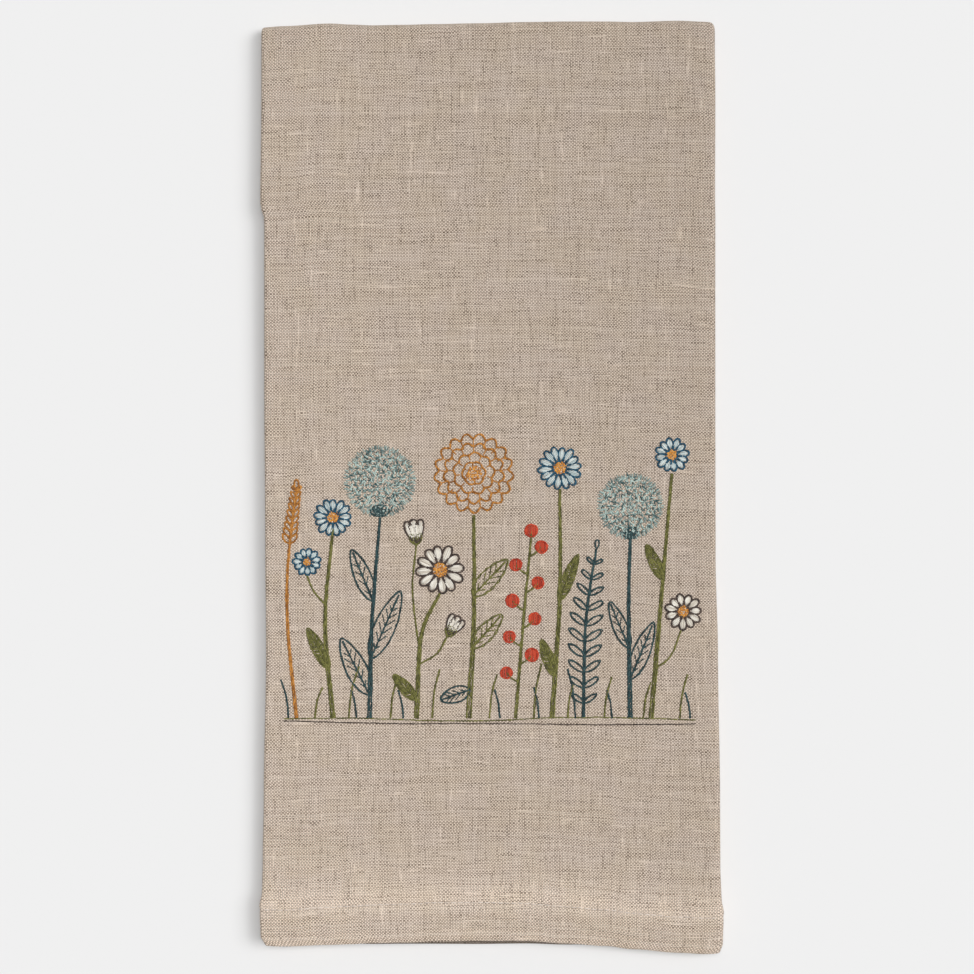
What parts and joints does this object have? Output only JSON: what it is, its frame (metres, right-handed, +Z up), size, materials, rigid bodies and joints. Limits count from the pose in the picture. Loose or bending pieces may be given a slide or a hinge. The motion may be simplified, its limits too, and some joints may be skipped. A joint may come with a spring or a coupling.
{
  "type": "tea towel",
  "caption": "Folded linen tea towel, plain weave with stitched hems and a row of embroidered meadow plants, lying flat for display.",
  "frame": {"origin": "under the middle of the folded towel, on the surface that it lies on", "axes": "+X across the folded towel, +Y along it from the hemmed ends to the half fold, +Z up out of its embroidered front"},
  "size_m": [0.178, 0.3582, 0.0104],
  "materials": {
    "linen": "natural undyed linen in plain weave, matt, with slubs",
    "hem_thread": "matt sewing thread in a natural shade",
    "embroidery_thread": "embroidery thread with a soft sheen, in several colours"
  },
  "bodies": {
    "root": {"towel": "linen"}
  },
  "joints": []
}
